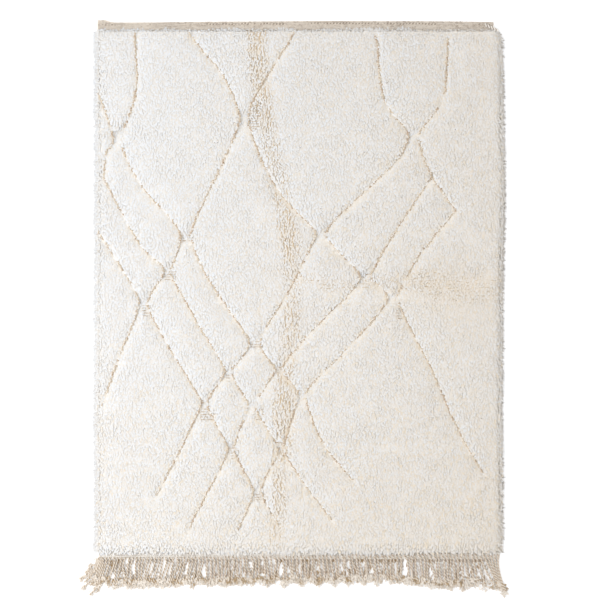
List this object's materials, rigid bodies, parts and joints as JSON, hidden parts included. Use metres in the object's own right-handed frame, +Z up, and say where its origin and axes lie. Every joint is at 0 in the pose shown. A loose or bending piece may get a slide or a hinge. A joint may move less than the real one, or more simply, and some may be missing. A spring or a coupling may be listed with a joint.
{
  "type": "beni ourain rug",
  "caption": "Flat rectangular shag rug of ivory wool with an uneven lozenge lattice of furrows in its pile, a flat-woven band at its head and a knotted warp fringe at its foot.",
  "frame": {"origin": "middle of the rug's underside, on the floor", "axes": "+Y along the warps towards the flat-woven band, so the fringe lies at -Y; +X to the right seen from above with the band at the top; +Z up"},
  "size_m": [1.5939, 2.1696, 0.0285],
  "materials": {
    "wool_pile": "undyed ivory wool in a long knotted pile, matt",
    "flat_weave": "undyed beige wool, flat-woven and twisted into cords, matt"
  },
  "bodies": {
    "root": {"pile_rug": "wool_pile", "fringe": "flat_weave"}
  },
  "joints": []
}
